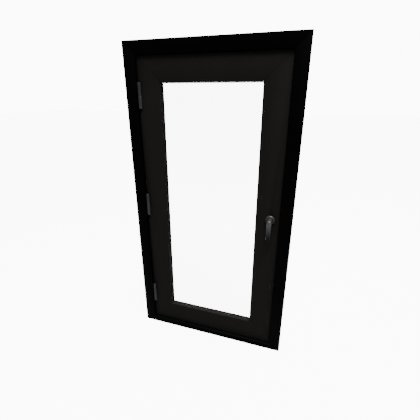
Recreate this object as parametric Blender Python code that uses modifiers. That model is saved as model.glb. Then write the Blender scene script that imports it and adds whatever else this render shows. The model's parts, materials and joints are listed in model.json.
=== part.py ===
"""Inward-opening casement window: a rebated timber frame, a glazed sash on three
lift-off barrel hinges, and an espagnolette lock turned by a lever on a round rosette.

Metres, +Z up. The origin is the middle of the sill's underside, halfway through the
frame's depth. The room is on the -Y side and the weather on the +Y side. The hinges
are on the -X side.
"""

import math

import bmesh
import bpy
from mathutils import Matrix, Vector

MM = 0.001

# Overall sizes
FRAME_WIDTH = 635 * MM
FRAME_HEIGHT = 1200 * MM
GAP = 0.3 * MM                  # between pieces that touch
WELD_DISTANCE = 0.02 * MM

# Frame section, measured from its outer edge and back from its room face
FACE = 46 * MM                  # width of the head's and the jambs' room face
SILL_FACE = 22.4 * MM           # height of the sill's room face
FLANGE = 14 * MM                # thickness of the flange that laps over the wall
WALL_LAP = 20 * MM              # width of that flange
STOP_PROUD = 24 * MM            # how far the stop stands in behind the sash
STOP_DEPTH = 18.7 * MM          # thickness of the stop, from the seal to the weather
SEAL_GAP = 3 * MM               # from the back of the sash to the stop
GROOVE_WIDTH = 3 * MM
GROOVE_DEPTH = 5 * MM
SEAL_CLEAR = 0.6 * MM           # the seal stands this far off the sash
SEAL_BULB = 7 * MM

# Sash section
SASH_RECESS = 10.3 * MM         # from the frame's room face back to the sash's
SASH_DEPTH = 44 * MM
SASH_FACE = 87.5 * MM           # width of the stiles and the rails
LIP_WIDTH = 12 * MM             # lip round the sash that hides the hardware channel
LIP_DEPTH = 14 * MM
REVEAL = 22 * MM                # depth of the lip in front of the glass
REBATE = 20 * MM                # how far the glass goes into the sash
HINGE_GAP = 1.0 * MM
TOP_GAP = 1.5 * MM
LOCK_GAP = 1.5 * MM
BOTTOM_GAP = 4.6 * MM

# Glazing
PANE = 4 * MM
PANE_GAP = 4 * MM               # between the two panes
PANE_CLEAR = 4 * MM             # from the edge of the glass to the rebate
TAPE = 0.9 * MM
TAPE_WIDTH = 10 * MM
SPACER_WIDTH = 6.5 * MM
BEAD_HEIGHT = 7.6 * MM
BEAD_TOE = 1.0 * MM
BLOCK_LENGTH = 80 * MM

# Corner tongues
TONGUE = 4 * MM
SASH_TONGUE = 40 * MM
FRAME_TONGUE = 14 * MM

# Sill
SILL_FALL = 3 * MM              # the sill's stop drops this much towards the weather
DRIP_SIZE = 3 * MM
TENON_ROOT = 5 * MM             # how far each tenon reaches into the sill
TENON_FRONT = 18 * MM           # from the room face back to the tenon
TENON_BACK = 8 * MM             # from the tenon back to the stop
TENON_EDGE = 5 * MM             # above and below the tenon
TENON_SHOULDER = 6 * MM         # left in the jamb past the tenon's tip

# Hinges
BARREL_RADIUS = 6.5 * MM
BARREL_LENGTH = 90 * MM
BARREL_CLEAR = 0.5 * MM         # round the barrel, in the stile's groove
BARREL_OFF_JAMB = 0.35 * MM     # between the barrel and the jamb's reveal
BARREL_FORWARD = 3.4 * MM       # the pin's axis stands this far in front of the sash
PIN_RADIUS = 3 * MM
RUNNING = 0.08 * MM             # radial clearance of the pin in its bore
PIN_REACH = 32 * MM             # into each half of the barrel
PINTLE_RADIUS = 3 * MM
PINTLE_LENGTH = 26 * MM
SASH_PINTLE_TURN = 60           # degrees from the sash's plane, which keeps it under the surface
HINGE_END_TOP = -1.5 * MM       # from the top of the glass opening down to the barrel
HINGE_END_BOTTOM = 4 * MM       # from the foot of the glass opening up to the barrel

# Handle
HANDLE_DROP = 2 * MM            # the spindle's axis is this far under the middle
ROSETTE_RADIUS = 17 * MM
ROSETTE_HEIGHT = 10 * MM
ROSETTE_WALL = 1.5 * MM
ROSETTE_EDGE = 4.2 * MM         # height of the rosette's rounded shoulder
PLATE_HEIGHT = 3 * MM
NECK_RADIUS = 8 * MM
LEVER_WIDTH = 17.6 * MM
LEVER_DEPTH = 10 * MM
LEVER_LENGTH = 68 * MM          # from the spindle's axis to the lever's tip
LEVER_FRONT = 40 * MM           # from the sash to the front of the lever
SPINDLE = 7 * MM

# Lock
CASE_DEPTH = 16 * MM
CASE_WALL = 1.5 * MM
CASE_SIDE = 8 * MM              # from a drive pin's furthest reach to the case's far wall
CASE_ROOM = 5 * MM              # from the lower rod's foot to the end of the case
FOLLOWER_RADIUS = 8 * MM
FOLLOWER_THICK = 5 * MM
DRIVE_PIN_RADIUS = 2.5 * MM
DRIVE_PLAY = 0.9 * MM           # lets the pins' arc follow the straight rods
DRIVE_SIDE = 1 * MM             # from a drive pin's furthest reach to the rod's middle
ROD_WIDTH = 10 * MM
ROD_THICK = 3.5 * MM
ROD_THROW = 18 * MM
TAIL_THICK = 3 * MM
TAIL_MARGIN = 2.5 * MM          # of metal round a tail's slot
TAIL_FOOT = 6 * MM
FACEPLATE_WIDTH = 16 * MM
FACEPLATE_THICK = 2.2 * MM
FACEPLATE_LENGTH = 760 * MM
CAM_REACH = 300 * MM            # from the handle's height to each cam
CAM_RADIUS = 5 * MM
CAM_SHANK = 3 * MM
CAM_PROUD = 9 * MM
KEEP_LENGTH = 56 * MM
KEEP_THICK = 2.5 * MM

# Planes and lines that the pieces share
MITRE_GAP = GAP / 2 * math.sqrt(2)
FRAME_DEPTH = SASH_RECESS + SASH_DEPTH + SEAL_GAP + STOP_DEPTH
ROOM_Y = -FRAME_DEPTH / 2
WEATHER_Y = FRAME_DEPTH / 2
SASH_Y = ROOM_Y + SASH_RECESS
SASH_BACK_Y = SASH_Y + SASH_DEPTH
STOP_Y = SASH_BACK_Y + SEAL_GAP
SASH_LEFT = -FRAME_WIDTH / 2 + FACE + HINGE_GAP
SASH_RIGHT = FRAME_WIDTH / 2 - FACE - LOCK_GAP
SASH_BOTTOM = SILL_FACE + BOTTOM_GAP
SASH_TOP = FRAME_HEIGHT - FACE - TOP_GAP
REBATE_EDGE = SASH_FACE - REBATE
GLASS_Y = SASH_Y + REVEAL + GAP + TAPE + GAP
SEAL_LINE = FACE + LIP_WIDTH + (STOP_PROUD - LIP_WIDTH) / 2
SILL_STOP = SASH_BOTTOM + STOP_PROUD - HINGE_GAP
SILL_SEAL_Z = SASH_BOTTOM - HINGE_GAP + SEAL_LINE - FACE
TENON_LENGTH = FACE - WALL_LAP - TENON_SHOULDER
HINGE_X = -FRAME_WIDTH / 2 + FACE + BARREL_OFF_JAMB + BARREL_RADIUS
HINGE_Y = SASH_Y - BARREL_FORWARD
CHANNEL_X = SASH_RIGHT - LIP_WIDTH       # lock edge of the sash behind its lip
LOCK_Y = SASH_Y + LIP_DEPTH + (SASH_DEPTH - LIP_DEPTH) / 2
ROD_X = CHANNEL_X - FACEPLATE_THICK - GAP - ROD_THICK / 2
CRANK = ROD_THROW / math.sqrt(2)         # from the spindle's axis to a drive pin
HANDLE_X = ROD_X - DRIVE_SIDE - DRIVE_PIN_RADIUS - CRANK
HANDLE_HEIGHT = FRAME_HEIGHT / 2 - HANDLE_DROP
TAIL_HALF = DRIVE_PIN_RADIUS + DRIVE_PLAY + TAIL_MARGIN  # half a tail's height
TAIL_FOOT_TOP = HANDLE_HEIGHT - 1.5 * ROD_THROW - TAIL_HALF - MM
CASE_HEIGHT = 2 * (HANDLE_HEIGHT - TAIL_FOOT_TOP + TAIL_FOOT + CASE_ROOM)
CASE_LEFT = HANDLE_X - CRANK - CASE_SIDE
CASE_RIGHT = CHANNEL_X - FACEPLATE_THICK - GAP
CASE_FRONT = LOCK_Y - CASE_DEPTH / 2
CASE_BACK = LOCK_Y + CASE_DEPTH / 2
FOLLOWER_Y = CASE_FRONT + CASE_WALL + GAP
TAIL_Y = FOLLOWER_Y + FOLLOWER_THICK + GAP
HINGE_PLACE = (HINGE_X, HINGE_Y, FRAME_HEIGHT / 2)
HANDLE_PLACE = (HANDLE_X, SASH_Y, HANDLE_HEIGHT)
HINGE_HEIGHTS = {
    "top": SASH_TOP - SASH_FACE - HINGE_END_TOP - BARREL_LENGTH / 2,
    "middle": FRAME_HEIGHT / 2,
    "bottom": SASH_BOTTOM + SASH_FACE + HINGE_END_BOTTOM + BARREL_LENGTH / 2,
}


def new_collection(name):
    collection = bpy.data.collections.new(name)
    bpy.context.scene.collection.children.link(collection)
    return collection


def new_material(name, colour, roughness, metallic=0.0, transmission=0.0):
    material = bpy.data.materials.new(name)
    material.use_nodes = True
    shader = material.node_tree.nodes["Principled BSDF"]
    shader.inputs["Base Color"].default_value = (*colour, 1)
    shader.inputs["Roughness"].default_value = roughness
    shader.inputs["Metallic"].default_value = metallic
    shader.inputs["Transmission Weight"].default_value = transmission
    return material


def clear_scene():
    for old in list(bpy.data.objects):
        bpy.data.objects.remove(old)


clear_scene()
WINDOW = new_collection("casement_window")
CUTTERS = new_collection("cutters")
MATERIALS = {
    "frame_paint": new_material("frame_paint", (0.004, 0.004, 0.004), 0.45),
    "sash_paint": new_material("sash_paint", (0.016, 0.015, 0.014), 0.4),
    "dark_metal": new_material("dark_metal", (0.08, 0.08, 0.08), 0.35, 0.9),
    "bright_steel": new_material("bright_steel", (0.5, 0.5, 0.5), 0.3, 1.0),
    "spacer_metal": new_material("spacer_metal", (0.3, 0.3, 0.3), 0.4, 1.0),
    "glass": new_material("glass", (1, 1, 1), 0.02, 0.0, 1.0),
    "seal_rubber": new_material("seal_rubber", (0.01, 0.01, 0.01), 0.8),
    "block_plastic": new_material("block_plastic", (0.03, 0.03, 0.03), 0.6),
    "tongue_wood": new_material("tongue_wood", (0.45, 0.3, 0.16), 0.7),
}


def add_piece(name, mesh, material, place=Matrix.Identity(4)):
    """Links a mesh as a part, or as a hidden cutter when it has no material."""
    piece = bpy.data.objects.new(name, mesh)
    piece.matrix_world = place
    if material is None:
        CUTTERS.objects.link(piece)
        piece.hide_render = True
        piece.display_type = "WIRE"
    else:
        mesh.materials.append(MATERIALS[material])
        WINDOW.objects.link(piece)
    return piece


def box(name, low, high, material=None):
    """A box between two corners, with its origin in its middle."""
    low = Vector(low)
    high = Vector(high)
    mesh = bpy.data.meshes.new(name)
    cage = bmesh.new()
    bmesh.ops.create_cube(cage, size=1)
    bmesh.ops.scale(cage, vec=high - low, verts=cage.verts)
    cage.to_mesh(mesh)
    cage.free()
    return add_piece(name, mesh, material, Matrix.Translation((low + high) / 2))


def rod(name, start, end, radius, material=None, segments=32):
    """A round bar between two points."""
    start = Vector(start)
    end = Vector(end)
    along = end - start
    mesh = bpy.data.meshes.new(name)
    cage = bmesh.new()
    bmesh.ops.create_cone(
        cage, cap_ends=True, segments=segments, radius1=radius, radius2=radius, depth=along.length
    )
    cage.to_mesh(mesh)
    cage.free()
    mesh.shade_smooth()
    mesh.set_sharp_from_angle(angle=math.radians(40))
    turn = along.to_track_quat("Z", "Y").to_matrix().to_4x4()
    return add_piece(name, mesh, material, Matrix.Translation((start + end) / 2) @ turn)


def flat_solid(name, outline, thickness, material, place, mitre_low=0.0, mitre_high=0.0):
    """An outline pulled to a thickness. Each mitre shears that end back by its share of local X."""
    curve = bpy.data.curves.new(name, "CURVE")
    curve.dimensions = "2D"
    curve.fill_mode = "BOTH"
    curve.extrude = thickness / 2
    spline = curve.splines.new("POLY")
    spline.points.add(len(outline) - 1)
    for point, (x, y) in zip(spline.points, outline):
        point.co = (x, y, 0, 1)
    spline.use_cyclic_u = True
    helper = bpy.data.objects.new(name + "_outline", curve)
    CUTTERS.objects.link(helper)
    graph = bpy.context.evaluated_depsgraph_get()
    mesh = bpy.data.meshes.new_from_object(helper.evaluated_get(graph))
    mesh.name = name
    bpy.data.objects.remove(helper)
    cage = bmesh.new()
    cage.from_mesh(mesh)
    bmesh.ops.remove_doubles(cage, verts=cage.verts, dist=0.00001)
    for corner in cage.verts:
        share = mitre_high if corner.co.z > 0 else mitre_low
        corner.co.z -= math.copysign(share, corner.co.z) * abs(corner.co.x)
    bmesh.ops.recalc_face_normals(cage, faces=cage.faces)
    cage.to_mesh(mesh)
    cage.free()
    mesh.materials.clear()
    return add_piece(name, mesh, material, place)


def turned(name, profile, material, place, segments=32):
    """A turned shape from (radius, height) points, listed from the top down its outer side."""
    mesh = bpy.data.meshes.new(name)
    points = [(radius, 0, height) for radius, height in profile]
    edges = [(i, i + 1) for i in range(len(points) - 1)]
    mesh.from_pydata(points, edges, [])
    piece = add_piece(name, mesh, material, place)
    screw = piece.modifiers.new("turn", "SCREW")
    screw.steps = segments
    screw.render_steps = segments
    screw.use_merge_vertices = True
    screw.merge_threshold = 0.00001
    screw.use_smooth_shade = True
    return piece


def boolean(piece, other, operation):
    """Adds an exact Boolean with another object, which becomes a hidden helper."""
    step = piece.modifiers.new(other.name, "BOOLEAN")
    step.operation = operation
    step.object = other
    step.solver = "EXACT"
    return piece


def cut(piece, *cutters):
    for cutter in cutters:
        boolean(piece, cutter, "DIFFERENCE")
    return piece


def join(piece, *others):
    for other in others:
        boolean(piece, other, "UNION")
    return piece


def grown(low, high, by=GAP):
    """The corners of a box grown on every side."""
    return [c - by for c in low], [c + by for c in high]


def side_place(x, y, z, turn):
    """Places a section whose X runs in from an outer edge, turned about Y to lie along a side."""
    return Matrix.Translation((x, y, z)) @ Matrix.Rotation(math.radians(turn), 4, "Y")


def mirrored(outline):
    return [(-x, y) for x, y in outline]


def four_sides(prefix, names, outline, left, right, bottom, top, front, material):
    """A mitred ring of four bars with one section, as four separate pieces."""
    width = right - left
    height = top - bottom
    middle_x = (left + right) / 2
    middle_z = (bottom + top) / 2
    layout = (
        (outline, height, side_place(left, front, middle_z, 0)),
        (mirrored(outline), height, side_place(right, front, middle_z, 0)),
        (outline, width, side_place(middle_x, front, top, 90)),
        (outline, width, side_place(middle_x, front, bottom, -90)),
    )
    pieces = []
    for name, (section, length, place) in zip(names, layout):
        bar = flat_solid(prefix + name, section, length - 2 * MITRE_GAP, material, place, 1, 1)
        pieces.append(bar)
    return pieces


# ---------------------------------------------------------------- frame


def frame_section():
    """The head's and the jambs' section, with the wall lap, the stop and the seal's groove."""
    stop = STOP_Y - ROOM_Y
    return [
        (0, 0),
        (FACE, 0),
        (FACE, stop),
        (SEAL_LINE - GROOVE_WIDTH / 2, stop),
        (SEAL_LINE - GROOVE_WIDTH / 2, stop + GROOVE_DEPTH),
        (SEAL_LINE + GROOVE_WIDTH / 2, stop + GROOVE_DEPTH),
        (SEAL_LINE + GROOVE_WIDTH / 2, stop),
        (FACE + STOP_PROUD, stop),
        (FACE + STOP_PROUD, FRAME_DEPTH),
        (WALL_LAP, FRAME_DEPTH),
        (WALL_LAP, FLANGE),
        (0, FLANGE),
    ]


def sill_section():
    """The sill's section, as depth from the room face and height."""
    stop = STOP_Y - ROOM_Y
    return [
        (0, 0),
        (0, SILL_FACE),
        (stop, SILL_FACE),
        (stop, SILL_SEAL_Z - GROOVE_WIDTH / 2),
        (stop + GROOVE_DEPTH, SILL_SEAL_Z - GROOVE_WIDTH / 2),
        (stop + GROOVE_DEPTH, SILL_SEAL_Z + GROOVE_WIDTH / 2),
        (stop, SILL_SEAL_Z + GROOVE_WIDTH / 2),
        (stop, SILL_STOP),
        (FRAME_DEPTH, SILL_STOP - SILL_FALL),
        (FRAME_DEPTH, 0),
        (FRAME_DEPTH - DRIP_SIZE, 0),
        (FRAME_DEPTH - DRIP_SIZE, DRIP_SIZE),
        (FRAME_DEPTH - 2 * DRIP_SIZE, DRIP_SIZE),
        (FRAME_DEPTH - 2 * DRIP_SIZE, 0),
    ]


def build_frame():
    half = FRAME_WIDTH / 2
    section = frame_section()
    jambs = []
    for name, side, outline in (("left", -1, section), ("right", 1, mirrored(section))):
        place = side_place(side * half, ROOM_Y, FRAME_HEIGHT / 2 - MITRE_GAP / 2, 0)
        length = FRAME_HEIGHT - MITRE_GAP
        jambs.append(
            flat_solid("frame_jamb_" + name, outline, length, "frame_paint", place, 0, 1)
        )
    place = side_place(0, ROOM_Y, FRAME_HEIGHT, 90)
    head = flat_solid(
        "frame_head", section, FRAME_WIDTH - 2 * MITRE_GAP, "frame_paint", place, 1, 1
    )
    build_sill(jambs)
    for jamb, side, name in zip(jambs, (-1, 1), ("left", "right")):
        centre = FACE - (FACE - WALL_LAP) / 2
        build_tongue(
            "frame_tongue_" + name,
            (side * (half - centre), (ROOM_Y + STOP_Y) / 2, FRAME_HEIGHT - centre),
            FRAME_TONGUE,
            45 * side,
            (head, jamb),
        )
    return jambs


def build_sill(jambs):
    reach = FRAME_WIDTH / 2 - FACE - GAP
    turn = Matrix(((0, 0, 1, 0), (1, 0, 0, ROOM_Y), (0, 1, 0, 0), (0, 0, 0, 1)))
    sill = flat_solid("frame_sill", sill_section(), 2 * reach, "frame_paint", turn)
    for jamb, side, name in zip(jambs, (-1, 1), ("left", "right")):
        stop_x = side * (FRAME_WIDTH / 2 - FACE - STOP_PROUD - GAP)
        outer_x = side * FRAME_WIDTH / 2
        notch = box(
            "sill_notch_" + name,
            (min(stop_x, outer_x), STOP_Y - GAP, -MM),
            (max(stop_x, outer_x), WEATHER_Y + MM, SILL_STOP + MM),
        )
        root_x = side * (reach - TENON_ROOT)
        tip_x = side * (FRAME_WIDTH / 2 - FACE + TENON_LENGTH)
        low = (min(root_x, tip_x), ROOM_Y + TENON_FRONT, TENON_EDGE)
        high = (max(root_x, tip_x), STOP_Y - TENON_BACK, SILL_FACE - TENON_EDGE)
        tenon = box("sill_tenon_" + name, low, high)
        cut(sill, notch)
        join(sill, tenon)
        cut(jamb, box("sill_mortise_" + name, *grown(low, high)))


def build_tongue(name, centre, width, turn, members):
    """A loose tongue across a mitre, and its slot in both members."""
    place = Matrix.Translation(centre) @ Matrix.Rotation(math.radians(turn), 4, "Y")
    for suffix, grow, material in (("", 0, "tongue_wood"), ("_slot", GAP, None)):
        size = Vector((width, TONGUE, width)) / 2 + Vector((grow, grow, grow))
        piece = box(name + suffix, -size, size, material)
        piece.matrix_world = place
    for member in members:
        cut(member, piece)


def build_seals():
    """A strip in each of the stop's grooves: a root in the groove and a bulb in front of it."""
    bulb = SEAL_GAP - SEAL_CLEAR
    root = GROOVE_WIDTH / 2 - GAP
    outline = [
        (-SEAL_BULB / 2, -GAP),
        (-SEAL_BULB / 2 + MM, -bulb),
        (SEAL_BULB / 2 - MM, -bulb),
        (SEAL_BULB / 2, -GAP),
        (root, -GAP),
        (root, GROOVE_DEPTH - GAP),
        (-root, GROOVE_DEPTH - GAP),
        (-root, -GAP),
    ]
    side_x = FRAME_WIDTH / 2 - SEAL_LINE
    top_z = FRAME_HEIGHT - SEAL_LINE
    low_z = SILL_SEAL_Z
    height = top_z - low_z - SEAL_BULB - 2 * GAP
    width = 2 * side_x + GROOVE_WIDTH - 2 * GAP
    middle = (top_z + low_z) / 2
    for name, x, z, length, turn in (
        ("left", -side_x, middle, height, 0),
        ("right", side_x, middle, height, 0),
        ("head", 0, top_z, width, 90),
        ("sill", 0, low_z, FRAME_WIDTH - 2 * (FACE + STOP_PROUD) - 2 * GAP, 90),
    ):
        flat_solid("seal_" + name, outline, length, "seal_rubber", side_place(x, STOP_Y, z, turn))


# ---------------------------------------------------------------- sash


def sash_section():
    return [
        (0, 0),
        (SASH_FACE, 0),
        (SASH_FACE, REVEAL),
        (REBATE_EDGE, REVEAL),
        (REBATE_EDGE, SASH_DEPTH),
        (LIP_WIDTH, SASH_DEPTH),
        (LIP_WIDTH, LIP_DEPTH),
        (0, LIP_DEPTH),
    ]


def build_sash():
    bars = four_sides(
        "sash_",
        ("stile_hinge", "stile_lock", "rail_top", "rail_bottom"),
        sash_section(),
        SASH_LEFT,
        SASH_RIGHT,
        SASH_BOTTOM,
        SASH_TOP,
        SASH_Y,
        "sash_paint",
    )
    stile_hinge, stile_lock, rail_top, rail_bottom = bars
    inset = SASH_FACE / 2
    for name, stile, rail, x, z, turn in (
        ("top_left", stile_hinge, rail_top, SASH_LEFT + inset, SASH_TOP - inset, -45),
        ("top_right", stile_lock, rail_top, SASH_RIGHT - inset, SASH_TOP - inset, 45),
        ("bottom_left", stile_hinge, rail_bottom, SASH_LEFT + inset, SASH_BOTTOM + inset, 45),
        ("bottom_right", stile_lock, rail_bottom, SASH_RIGHT - inset, SASH_BOTTOM + inset, -45),
    ):
        centre = (x, SASH_Y + REVEAL / 2, z)
        build_tongue("sash_tongue_" + name, centre, SASH_TONGUE, turn, (stile, rail))
    return stile_hinge, stile_lock


def ring(name, outer, width, front, thickness, material):
    """A flat rectangular ring, by cutting a box out of a box."""
    left, right, bottom, top = outer
    plate = box(name, (left, front, bottom), (right, front + thickness, top), material)
    hole = box(
        name + "_hole",
        (left + width, front - MM, bottom + width),
        (right - width, front + thickness + MM, top - width),
    )
    return cut(plate, hole)


def build_glazing():
    rebate = (
        SASH_LEFT + REBATE_EDGE,
        SASH_RIGHT - REBATE_EDGE,
        SASH_BOTTOM + REBATE_EDGE,
        SASH_TOP - REBATE_EDGE,
    )
    left, right, bottom, top = rebate
    edge = (left + PANE_CLEAR, right - PANE_CLEAR, bottom + PANE_CLEAR, top - PANE_CLEAR)
    tape_y = SASH_Y + REVEAL + GAP
    ring("glazing_tape", edge, TAPE_WIDTH, tape_y, TAPE, "seal_rubber")
    outer_y = GLASS_Y + PANE + PANE_GAP
    for name, front in (("glass_inner", GLASS_Y), ("glass_outer", outer_y)):
        box(name, (edge[0], front, edge[2]), (edge[1], front + PANE, edge[3]), "glass")
    ring(
        "glass_spacer",
        edge,
        SPACER_WIDTH,
        GLASS_Y + PANE + GAP,
        PANE_GAP - 2 * GAP,
        "spacer_metal",
    )
    bead_y = outer_y + PANE + GAP
    bead_depth = SASH_BACK_Y - GAP - bead_y
    outline = [(0, 0), (BEAD_HEIGHT, 0), (BEAD_TOE, bead_depth), (0, bead_depth)]
    four_sides(
        "bead_",
        ("left", "right", "top", "bottom"),
        outline,
        left + GAP,
        right - GAP,
        bottom + GAP,
        top - GAP,
        bead_y,
        "sash_paint",
    )
    for name, centre in (("left", left + (right - left) / 4), ("right", right - (right - left) / 4)):
        box(
            "setting_block_" + name,
            (centre - BLOCK_LENGTH / 2, GLASS_Y, bottom + GAP),
            (centre + BLOCK_LENGTH / 2, outer_y + PANE, bottom + PANE_CLEAR - GAP),
            "block_plastic",
        )


# ---------------------------------------------------------------- hinges


def barrel_profile(length):
    """Half a barrel, standing on z = 0, with a chamfered cap marked off by a fine groove."""
    cap = 6 * MM
    groove = 0.4 * MM
    chamfer = 0.7 * MM
    return [
        (0, length),
        (BARREL_RADIUS - chamfer, length),
        (BARREL_RADIUS, length - chamfer),
        (BARREL_RADIUS, length - cap),
        (BARREL_RADIUS - groove, length - cap - groove),
        (BARREL_RADIUS, length - cap - 2 * groove),
        (BARREL_RADIUS, 0),
        (0, 0),
    ]


def build_hinge(name, height, jamb, stile):
    """A lift-off hinge: a lower half screwed to the jamb, an upper half to the sash, and a pin."""
    half_length = BARREL_LENGTH / 2 - GAP / 2
    axis = Vector((HINGE_X, HINGE_Y, height))
    cap_down = Matrix.Rotation(math.pi, 4, "X")
    bore = PIN_RADIUS + RUNNING
    groove_half = Vector((0, 0, BARREL_LENGTH / 2 + BARREL_CLEAR))
    turn = math.radians(SASH_PINTLE_TURN)
    cut(
        stile,
        rod(
            name + "_groove",
            axis - groove_half,
            axis + groove_half,
            BARREL_RADIUS + BARREL_CLEAR,
        ),
    )
    for half, up, heading, member in (
        ("frame", -1, Vector((-1, 0, 0)), jamb),
        ("sash", 1, Vector((math.cos(turn), math.sin(turn), 0)), stile),
    ):
        foot = axis + Vector((0, 0, up * GAP / 2))
        place = Matrix.Translation(foot)
        if up < 0:
            place = place @ cap_down
        barrel = turned(
            f"{name}_{half}_half", barrel_profile(half_length), "dark_metal", place
        )
        start = foot + Vector((0, 0, up * half_length / 2)) + heading * (BARREL_RADIUS - 2 * MM)
        end = start + heading * (PINTLE_LENGTH + 2 * MM)
        pintle = rod(f"{name}_{half}_pintle", start, end, PINTLE_RADIUS, None, 16)
        hole = rod(
            f"{name}_{half}_hole",
            start,
            end + heading * GAP,
            PINTLE_RADIUS + GAP,
            None,
            16,
        )
        bore_end = foot + Vector((0, 0, up * (PIN_REACH + MM)))
        pin_bore = rod(f"{name}_{half}_bore", foot - Vector((0, 0, up * MM)), bore_end, bore)
        join(barrel, pintle)
        cut(barrel, pin_bore)
        cut(member, hole)
    reach = Vector((0, 0, PIN_REACH))
    rod(name + "_pin", axis - reach, axis + reach, PIN_RADIUS, "bright_steel")


# ---------------------------------------------------------------- handle and lock


def lever_outline(steps=16):
    """The lever's front outline: a half-round top about the spindle, straight sides, a square tip."""
    radius = LEVER_WIDTH / 2
    arc = [math.pi * step / steps for step in range(steps + 1)]
    crown = [(radius * math.cos(angle), radius * math.sin(angle)) for angle in arc]
    return [(radius, -LEVER_LENGTH)] + crown + [(-radius, -LEVER_LENGTH)]


def facing_room(x, y, z):
    """Local X stays along X, local Y stands up, and local Z points into the room."""
    return Matrix.Translation((x, y, z)) @ Matrix.Rotation(math.radians(90), 4, "X")


def build_handle(stile):
    """The rosette and its screws stay on the sash. The lever turns about the spindle."""
    front = SASH_Y - GAP
    neck_hole = NECK_RADIUS + GAP
    place = facing_room(HANDLE_X, front, HANDLE_HEIGHT)
    shoulder = ROSETTE_HEIGHT - ROSETTE_EDGE
    inner_radius = ROSETTE_RADIUS - ROSETTE_WALL
    turned(
        "rosette_cover",
        [
            (neck_hole, ROSETTE_HEIGHT),
            (ROSETTE_RADIUS - 3 * MM, ROSETTE_HEIGHT - 0.6 * MM),
            (ROSETTE_RADIUS - 0.8 * MM, ROSETTE_HEIGHT - 2 * MM),
            (ROSETTE_RADIUS, shoulder),
            (ROSETTE_RADIUS, 0),
            (inner_radius, 0),
            (inner_radius, shoulder),
            (ROSETTE_RADIUS - 4 * MM, ROSETTE_HEIGHT - 2.4 * MM),
            (neck_hole, ROSETTE_HEIGHT - 2.2 * MM),
            (neck_hole, ROSETTE_HEIGHT),
        ],
        "dark_metal",
        place,
    )
    plate = rod(
        "rosette_plate",
        (HANDLE_X, front, HANDLE_HEIGHT),
        (HANDLE_X, front - PLATE_HEIGHT, HANDLE_HEIGHT),
        inner_radius - GAP,
        "bright_steel",
    )
    spindle_hole = rod(
        "spindle_hole",
        (HANDLE_X, front - 2 * PLATE_HEIGHT, HANDLE_HEIGHT),
        (HANDLE_X, SASH_BACK_Y - 4 * MM, HANDLE_HEIGHT),
        SPINDLE / math.sqrt(2) + MM,
    )
    cut(plate, spindle_hole)
    cut(stile, spindle_hole)
    build_rosette_screws(front, plate, stile)
    build_lever(front)


def build_rosette_screws(front, plate, stile):
    """Two screws that hold the rosette's plate to the stile, under the cover."""
    shank = 1.8 * MM
    head = 3.0 * MM
    reach = 11 * MM
    spread = 11.8 * MM
    for name, side in (("upper", 1), ("lower", -1)):
        centre = HANDLE_HEIGHT + side * spread
        turned(
            "rosette_screw_" + name,
            [(0, 1.6 * MM), (head * 0.6, 1.4 * MM), (head, 0), (shank, 0), (shank, -reach), (0, -reach)],
            "bright_steel",
            facing_room(HANDLE_X, front - PLATE_HEIGHT - GAP, centre),
            16,
        )
        hole = rod(
            "rosette_screw_hole_" + name,
            (HANDLE_X, front - 2 * PLATE_HEIGHT, centre),
            (HANDLE_X, front + reach, centre),
            shank + GAP,
            None,
            16,
        )
        cut(plate, hole)
        cut(stile, hole)


def build_lever(front):
    """The lever with its neck, on the spindle's axis, and the square spindle."""
    lever_front = SASH_Y - LEVER_FRONT
    lever_middle = lever_front + LEVER_DEPTH / 2
    lever = flat_solid(
        "handle_lever",
        lever_outline(),
        LEVER_DEPTH,
        "dark_metal",
        facing_room(HANDLE_X, lever_middle, HANDLE_HEIGHT),
    )
    rounding = lever.modifiers.new("soft_edges", "BEVEL")
    rounding.width = 2 * MM
    rounding.segments = 2
    rounding.limit_method = "ANGLE"
    rounding.angle_limit = math.radians(50)
    neck_back = front - PLATE_HEIGHT - GAP
    neck = rod(
        "lever_neck",
        (HANDLE_X, lever_middle, HANDLE_HEIGHT),
        (HANDLE_X, neck_back, HANDLE_HEIGHT),
        NECK_RADIUS,
    )
    socket = SPINDLE / 2 + GAP
    depth = 14 * MM
    square = box(
        "lever_socket",
        (HANDLE_X - socket, neck_back - depth, HANDLE_HEIGHT - socket),
        (HANDLE_X + socket, neck_back + MM, HANDLE_HEIGHT + socket),
    )
    join(lever, neck)
    cut(lever, square)
    box(
        "handle_spindle",
        (HANDLE_X - SPINDLE / 2, neck_back - depth + GAP, HANDLE_HEIGHT - SPINDLE / 2),
        (HANDLE_X + SPINDLE / 2, LOCK_Y + CASE_DEPTH / 2 + GAP, HANDLE_HEIGHT + SPINDLE / 2),
        "bright_steel",
    )


def build_case(stile):
    """The lock's case: a tray open to the weather side, and the cover that closes it."""
    low = (CASE_LEFT, CASE_FRONT, HANDLE_HEIGHT - CASE_HEIGHT / 2)
    high = (CASE_RIGHT, CASE_BACK - CASE_WALL - GAP, HANDLE_HEIGHT + CASE_HEIGHT / 2)
    case = box("lock_case", low, high, "bright_steel")
    inside = box(
        "lock_case_inside",
        (low[0] + CASE_WALL, low[1] + CASE_WALL, low[2] + CASE_WALL),
        (high[0] + MM, high[1] + MM, high[2] - CASE_WALL),
    )
    rod_way = box(
        "lock_case_rod_way",
        (ROD_X - ROD_THICK / 2 - GAP, TAIL_Y - GAP, low[2] - MM),
        (high[0] + MM, high[1] + MM, high[2] + MM),
    )
    spindle_way = rod(
        "lock_case_spindle_way",
        (HANDLE_X, CASE_FRONT - MM, HANDLE_HEIGHT),
        (HANDLE_X, CASE_BACK + MM, HANDLE_HEIGHT),
        SPINDLE / math.sqrt(2) + GAP,
    )
    cut(case, inside, rod_way, spindle_way)
    cover = box(
        "lock_cover",
        (low[0], CASE_BACK - CASE_WALL, low[2]),
        (high[0], CASE_BACK, high[2]),
        "bright_steel",
    )
    cut(cover, spindle_way)
    pocket_low, pocket_high = grown(low, (CHANNEL_X + MM, CASE_BACK, high[2]))
    cut(stile, box("lock_pocket", pocket_low, pocket_high))


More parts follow.
